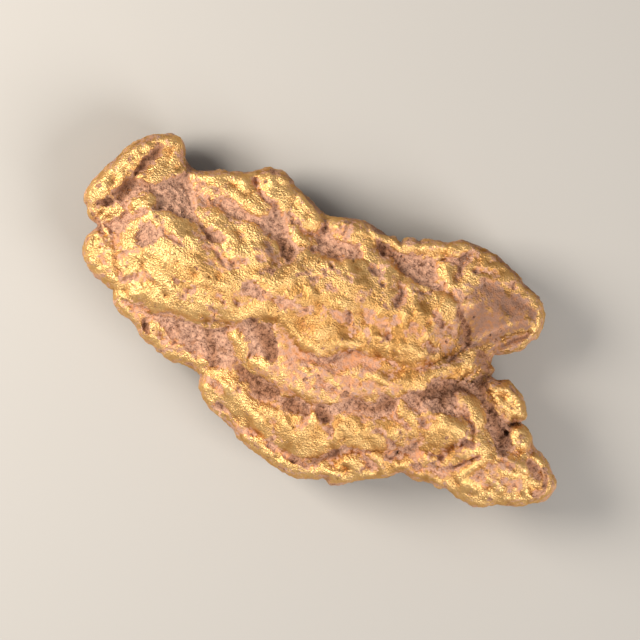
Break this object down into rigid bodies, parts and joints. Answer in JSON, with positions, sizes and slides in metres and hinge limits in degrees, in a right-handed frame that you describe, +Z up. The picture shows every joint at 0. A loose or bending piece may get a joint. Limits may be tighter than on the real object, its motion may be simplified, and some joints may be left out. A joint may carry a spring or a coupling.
{
  "type": "gold nugget",
  "caption": "Water-worn native gold nugget: folded ridges, a rolled lip at one end, a lobe and a tail parted by a notch at the other, crusted hollows.",
  "frame": {"origin": "on the ground under the middle of the nugget's box, where its worn underside rests", "axes": "+X along its length, from the rolled lip to the tail; +Z up from the underside to the folded upper skin"},
  "size_m": [0.0554, 0.0294, 0.0114],
  "materials": {
    "native_gold": "dull hammered gold with mauve and pink-brown crust in the hollows"
  },
  "bodies": {
    "root": {"nugget": "native_gold"}
  },
  "joints": []
}
